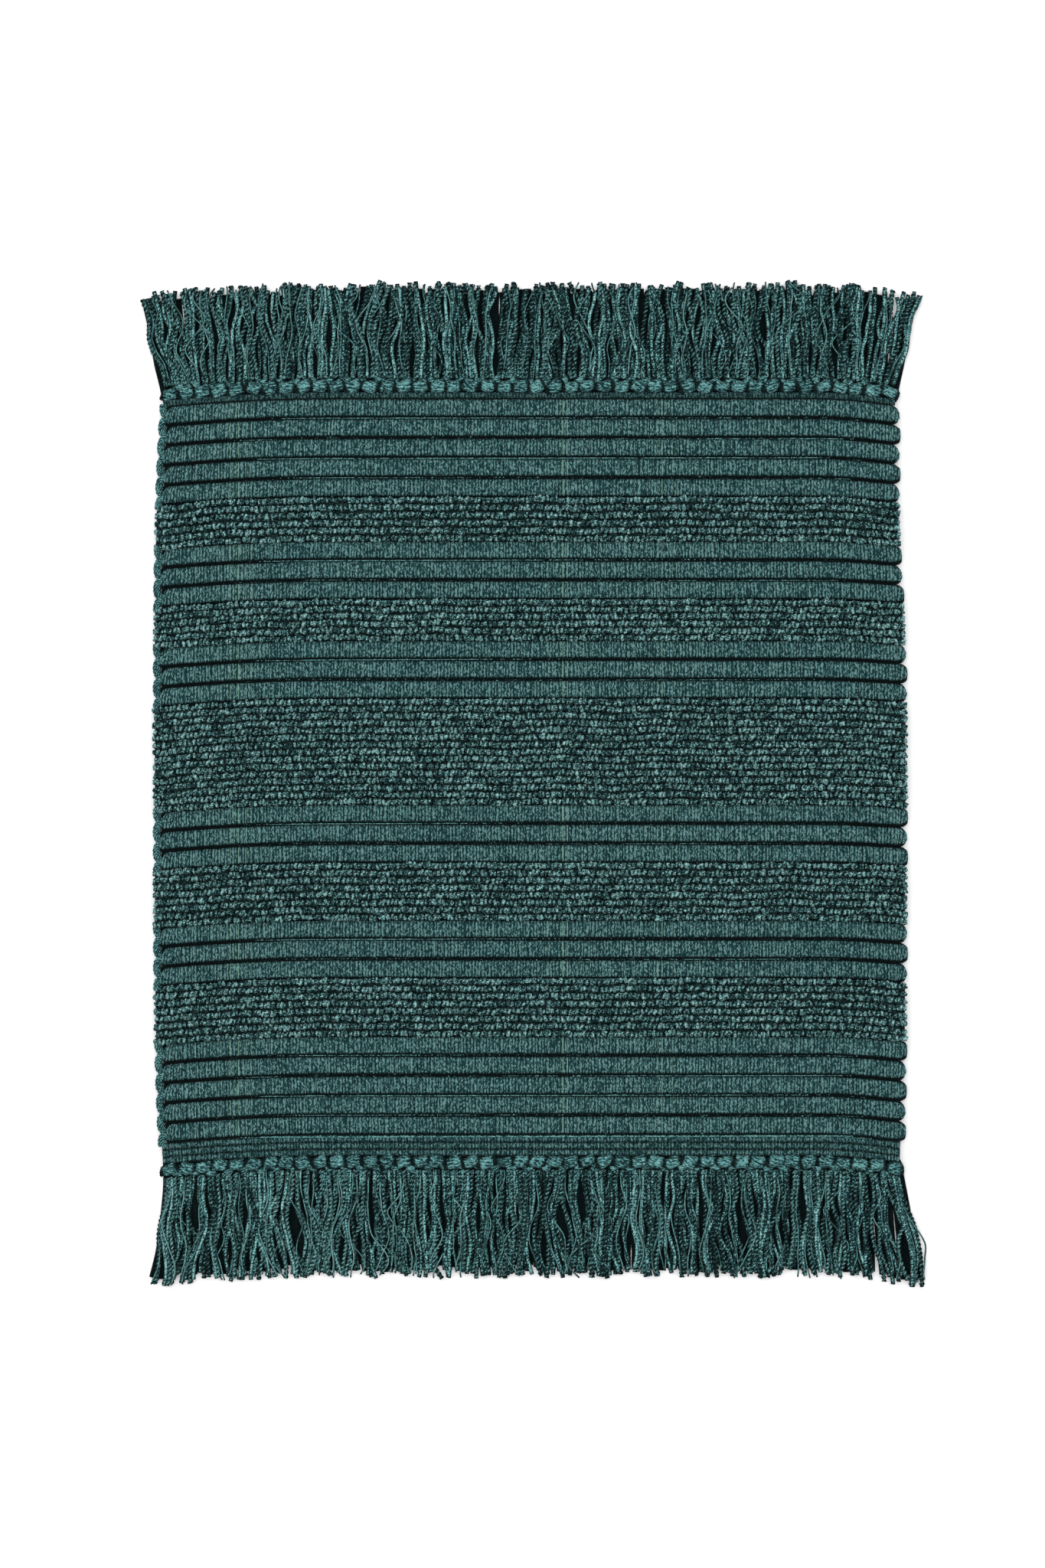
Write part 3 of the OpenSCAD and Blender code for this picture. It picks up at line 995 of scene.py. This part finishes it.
@dataclass
class Fringe:
    """The loose warp ends beyond the knots.

    Attributes:
        finishes: The finish of each kind of yarn.
        count: Number of tassels at an end.
        root_height: Height at which the yarns leave the knots.
        fold: Length over which the fringe would bend when it is turned over; not used.
    """

    finishes: dict[Strand, CottonYarn]
    count: int = 44
    root_height: float = 3.6 * MM
    fold: float = 16 * MM

    def recipe(self, kind: Strand) -> Recipe:
        """Builds the tree for one kind of yarn.

        Args:
            kind: Which yarn.

        Returns:
            The tree.
        """
        size = YARNS[kind]
        r = Recipe(f"Fringe {kind.value}", {
            "Root": 0.0, "Length": 73 * MM, "Way": 1.0, "Pitch": 11.6 * MM, "Left splay": 8 * MM,
            "Right splay": 8 * MM, "Left bend": 1.0, "Right bend": 1.0, "Painted shade all over": 0.0, "Seed": 1})
        strand = (r.index() / size.steps).floor()
        t = (r.index() - strand * size.steps) / (size.steps - 1)
        x, out, z = self.course(r, size, strand, t)
        points = r.scatter(self.count * size.each * size.steps, x, r["Root"] + out * r["Way"], z)
        points = r.mark(points, tone=r.chance(strand, 20, -0.4, 0.4), along=out, step=t)
        curves = r.out("GeometryNodePointsToCurves", values={"Points": points, "Curve Group ID": strand, "Weight": t})
        return r.close(r.lay(self.thicken(r, kind, curves)))

    def course(self, r: Recipe, size: StrandSizes, strand: Num, t: Num) -> tuple[Num, Num, Num]:
        """Works out where a yarn runs.

        Args:
            r: The tree.
            size: The yarn's sizes.
            strand: The yarn's number.
            t: Share of its length, from the root.

        Returns:
            Its place across the mat, its reach beyond the root, and its height.
        """
        knot = (strand / size.each).floor()
        middle = (knot + 0.5 - self.count / 2) * r["Pitch"]
        slot = (strand - knot * size.each + 0.5) / size.each * 2 - 1
        root = middle + (slot * size.spread + r.chance(strand, 1, -size.jitter, size.jitter)) * MM
        under = size is YARNS[Strand.UNDER]
        sway, start = (4, 12 * MM) if under else (14, 1.5 * MM)
        edge = self.count / 2 * r["Pitch"] - 3.5 * MM
        root = root.least(edge).most(-edge)
        lean = r.wander(knot * 0.31 + r["Seed"] * 5.5, 1.0) * sway + r.chance(strand, 2, -size.stray, size.stray)
        corner = middle.rise(0.19, 0.262, False) ** 2 * r["Right splay"] * t ** r["Right bend"]
        corner = corner - (-middle).rise(0.19, 0.262, False) ** 2 * r["Left splay"] * t ** r["Left bend"]
        loose = r.chance(strand, 5) ** 4 * 2.6 + 0.7
        wave = r.wander(t * 2.1 + strand * 13.7, 0.0) * loose * (size.wave * 1.6) * (t * 2.5).least(1.0)
        wave = wave + r.wander(t * 6.0 + strand * 7.1, 0.0) * (size.wave * 0.12) * (t * 4).least(1.0)
        shared = r.wander(t * 1.5 + knot * 0.43 + r["Seed"] * 2.3, 0.0) * (0.0 if under else 11.0) * t.rise(0.0, 0.5)
        x = root + t * lean * MM + (wave + shared) * MM + corner
        share = r.chance(strand, 3, 0.9, 1.0) + r.wander(knot * 0.6 + r["Seed"] * 1.7) * 0.05
        length = (r["Length"] - 1.5 * MM) * (share * 0.94 if under else share) + start
        layer = r.chance(strand, 4, size.low, size.high)
        drop = t.rise(0.0, 0.22)
        z = self.root_height + (layer - self.root_height) * drop + r.wander(t * 4 + strand * 3.3) * (1.0 * MM) * drop
        clear = size.radius * (size.flat if under else 1 + size.depth)
        return x, t * length - start, z.most(clear)

    def thicken(self, r: Recipe, kind: Strand, curves: Num) -> Num:
        """Gives the yarns of one kind their thickness, twist and ridges.

        Args:
            r: The tree.
            kind: Which yarn.
            curves: The yarns' courses.

        Returns:
            The mesh.
        """
        size = YARNS[kind]
        length = r.out("GeometryNodeSplineParameter", output="Length")
        factor = r.out("GeometryNodeSplineParameter", output="Factor")
        curves = r.out("GeometryNodeSetCurveNormal", {"mode": "Z_UP"}, {"Curve": curves})
        girth = factor.rise(1.0, 0.96, False) * 0.55 + 0.45
        curves = r.out("GeometryNodeSetCurveRadius", values={"Curve": curves, "Radius": girth})
        key = r.out("GeometryNodeInputNamedAttribute", {"data_type": "FLOAT"}, {"Name": "tone"}, "Attribute")
        tilt = r.wander(factor * 3 + key * 40) * (0.1 if kind is Strand.UNDER else 1.6)
        if size.twist:
            tilt = length * (TAU / size.twist)
        curves = r.out("GeometryNodeSetCurveTilt", values={"Curve": curves, "Tilt": tilt})
        mesh = r.sweep(curves, r.ring(size.sides, size.radius, size.lobes, size.depth, size.flat))
        _, _, z = r.place()
        # Painted shade: the under yarns' tops are near black, standing for the shade deep in the heap; other yarns
        # darken lower in the heap and on their steep sides, and all over where asked.
        if kind is Strand.UNDER:
            return r.mark(mesh, hollow=(z.rise(0.6 * MM, 1.4 * MM) * 0.97).most(r.slope(0.97, 0.75)))
        deep = (4.4 * MM - z).rise(0.2 * MM, 3.0 * MM) * 0.95
        return r.mark(mesh, hollow=deep.most(r.slope(0.985, 0.72)).most(r["Painted shade all over"]))

    def build(self) -> dict[End, list[bpy.types.Object]]:
        """Makes the fringe of each end, one piece for each kind of yarn.

        Returns:
            The pieces by their ends.
        """
        splays = {End.FRONT: (13 * MM, 18 * MM, 2.2, 0.8), End.BACK: (20 * MM, 18 * MM, 0.9, 0.9)}
        pieces = {end: [] for end in End}
        for kind in Strand:
            recipe, material = self.recipe(kind), self.finishes[kind].build()
            for end in End:
                node = f"{end.label}_tassels"
                low, high = corners(node)
                knots = corners(f"{end.label}_knots")
                root = high[1] if end is End.FRONT else low[1]
                # The back fringe gets a little painted shade all over, a shaded copy of the front.
                piece = recipe.make(f"{kind.value}_{end.label}", material, {
                    "Root": root, "Length": high[1] - low[1] + 1.5 * MM, "Way": float(end.value),
                    "Pitch": (knots[1][0] - knots[0][0]) / self.count, "Left splay": splays[end][0],
                    "Right splay": splays[end][1], "Left bend": splays[end][2], "Right bend": splays[end][3],
                    "Painted shade all over": 0.0 if end is End.FRONT else 0.09, "Seed": 11 + end.value})
                dress(piece, [node], None)
                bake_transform(piece)
                pieces[end].append(piece)
        return pieces


@dataclass
class Studio:
    """A pale floor, soft light from above and a camera that looks straight down.

    Attributes:
        middle: Point on the floor under the camera.
        distance: Height of the camera above the mat's middle height.
        lens: Focal length in millimetres.
    """

    middle: tuple[float, float] = (-4.4 * MM, -1.8 * MM)
    distance: float = 2.524
    lens: float = 85.0

    def build(self) -> None:
        """Makes the floor, the lights and the camera."""
        material = bpy.data.materials.new("Pale floor")
        material.use_nodes = True
        skin = material.node_tree.nodes["Principled BSDF"]
        skin.inputs["Base Color"].default_value = (0.93, 0.93, 0.93, 1.0)
        skin.inputs["Roughness"].default_value = 0.9
        mesh = bpy.data.meshes.new("studio_floor")
        side = 6.0
        mesh.from_pydata([(-side, -side, 0), (side, -side, 0), (side, side, 0), (-side, side, 0)], [], [(0, 1, 2, 3)])
        mesh.materials.append(material)
        floor = bpy.data.objects.new("studio_floor", mesh)
        bpy.context.collection.objects.link(floor)
        world = bpy.data.worlds.new("Soft room")
        world.use_nodes = True
        world.node_tree.nodes["Background"].inputs["Color"].default_value = (1.0, 1.0, 1.0, 1.0)
        world.node_tree.nodes["Background"].inputs["Strength"].default_value = 1.0
        bpy.context.scene.world = world
        self.light("Overhead softbox", (0.0, 0.6, 3.4), 2.6, 44.0)
        self.light("Side softbox", (-2.2, 1.6, 2.2), 1.2, 22.0)
        camera = bpy.data.cameras.new("Camera")
        camera.lens = self.lens
        camera.sensor_width = 36.0
        eye = bpy.data.objects.new("Camera", camera)
        eye.location = (*self.middle, self.distance + 8 * MM)
        bpy.context.collection.objects.link(eye)
        bpy.context.scene.camera = eye
        bpy.context.scene.view_settings.view_transform = "Standard"

    @staticmethod
    def light(name: str, place: Point, size: float, power: float) -> None:
        """Hangs a square softbox that faces the mat.

        Args:
            name: Its name.
            place: Where it hangs.
            size: Its side in metres.
            power: Its power in watts.
        """
        data = bpy.data.lights.new(name, "AREA")
        data.size = size
        data.energy = power
        lamp = bpy.data.objects.new(name, data)
        lamp.location = place
        to_light = lamp.location.normalized()
        lamp.rotation_mode = "QUATERNION"
        lamp.rotation_quaternion = to_light.to_track_quat("Z", "Y")
        bpy.context.collection.objects.link(lamp)


def declare_sheets(ribs: list[bpy.types.Object], ropes: list[bpy.types.Object],
                   cloths: list[bpy.types.Object], bands: list[bpy.types.Object],
                   hems: dict[End, bpy.types.Object], knots: dict[End, bpy.types.Object],
                   fringes: dict[End, list[bpy.types.Object]], groups: Sequence[int]) -> None:
    """Args:
        ribs: The ribs, from the front.
        ropes: The filler ropes, from the front.
        cloths: The ground cloths, from the front.
        bands: The bands of loops, from the front.
        hems: The hems by their ends.
        knots: The rows of knots by their ends.
        fringes: The fringes by their ends.
        groups: Number of ribs in each group.
    """
    starts = [sum(groups[:i]) for i in range(len(groups) + 1)]
    grouped = [ribs[a:b] + [rope] for a, b, rope in zip(starts, starts[1:], ropes)]
    ends = {end: [knots[end], *fringes[end]] for end in End}
    for number, (cloth, band) in enumerate(zip(cloths, bands)):
        low, high = corners(f"pile_ground_{number + 1}")
        riders = [band] + grouped[number + 1] + ([hems[End.BACK], *ends[End.BACK]] if number == 4 else [])
    low, high = corners("front_hem")
    grouped[0] + ends[End.FRONT]


def main() -> None:
    """Builds the mat from its ribs outwards, then the studio."""
    logging.basicConfig(level=logging.INFO, format="%(name)s: %(message)s")
    body, bright, pale = (0.026, 0.077, 0.079, 1.0), (0.112, 0.285, 0.285, 1.0), (0.31, 0.54, 0.53, 1.0)
    fair, vivid, palest = (0.108, 0.215, 0.212, 1.0), (0.150, 0.383, 0.383, 1.0), (0.34, 0.60, 0.59, 1.0)
    ribs = WrappedRibs(CottonYarn("Rib warp", "rib_warp", Grain.ACROSS_RIB, body=body, light=fair, contrast=1.1,
                                  faded=0.8, crease_shade=0.8))
    rib_pieces = ribs.build()
    ropes = FillerRopes(CottonYarn("Filler rope", "filler_cord", Grain.OPEN_WEAVE, body=bright, light=pale,
                                   contrast=0.4, furrow=1.0)).build(ribs.groups)
    cloths, bands = PileBands(
        CottonYarn("Loop pile", "loop_pile", Grain.ROUND_LOOP, body=bright, light=pale, contrast=1.15, tone=0.8,
                   furrow=0.4),
        CottonYarn("Ground weave", "ground_weave", Grain.OPEN_WEAVE)).build()
    hems = Hem(CottonYarn("Hem weave", "hem_weave", Grain.ACROSS_RIB, body=body, light=fair, crease_shade=0.6)).build()
    knots = KnotRows(CottonYarn("Knotted yarn", "knot_yarn", Grain.ALONG_KNOT, body=bright, light=pale, contrast=0.4,
                                furrow=0.8)).build()
    fringes = Fringe({
        Strand.UNDER: CottonYarn("Under yarn painted shade", "tassel_yarn", Grain.ALONG_STRAND, contrast=0.5, tone=0.7, hollow=1.0,
                                 furrow=0.9, crimp=1.9 * MM),
        Strand.CRIMPED: CottonYarn("Crimped yarn", "tassel_yarn", Grain.ALONG_STRAND, body=vivid, light=palest,
                                   contrast=0.6, tone=0.7, hollow=1.0, furrow=0.9, crimp=1.9 * MM),
        Strand.PLIED: CottonYarn("Plied cord", "tassel_yarn", Grain.ALONG_STRAND, body=vivid, light=palest,
                                 contrast=0.4, tone=0.7, hollow=1.0, furrow=1.2),
        Strand.FINE: CottonYarn("Fine thread", "tassel_yarn", Grain.ALONG_STRAND, body=bright, light=pale,
                                contrast=0.3, tone=0.5, hollow=1.0),
    }).build()
    declare_sheets(rib_pieces, ropes, cloths, bands, hems, knots, fringes, ribs.groups)
    Studio().build()


if __name__ == "__main__":
    main()
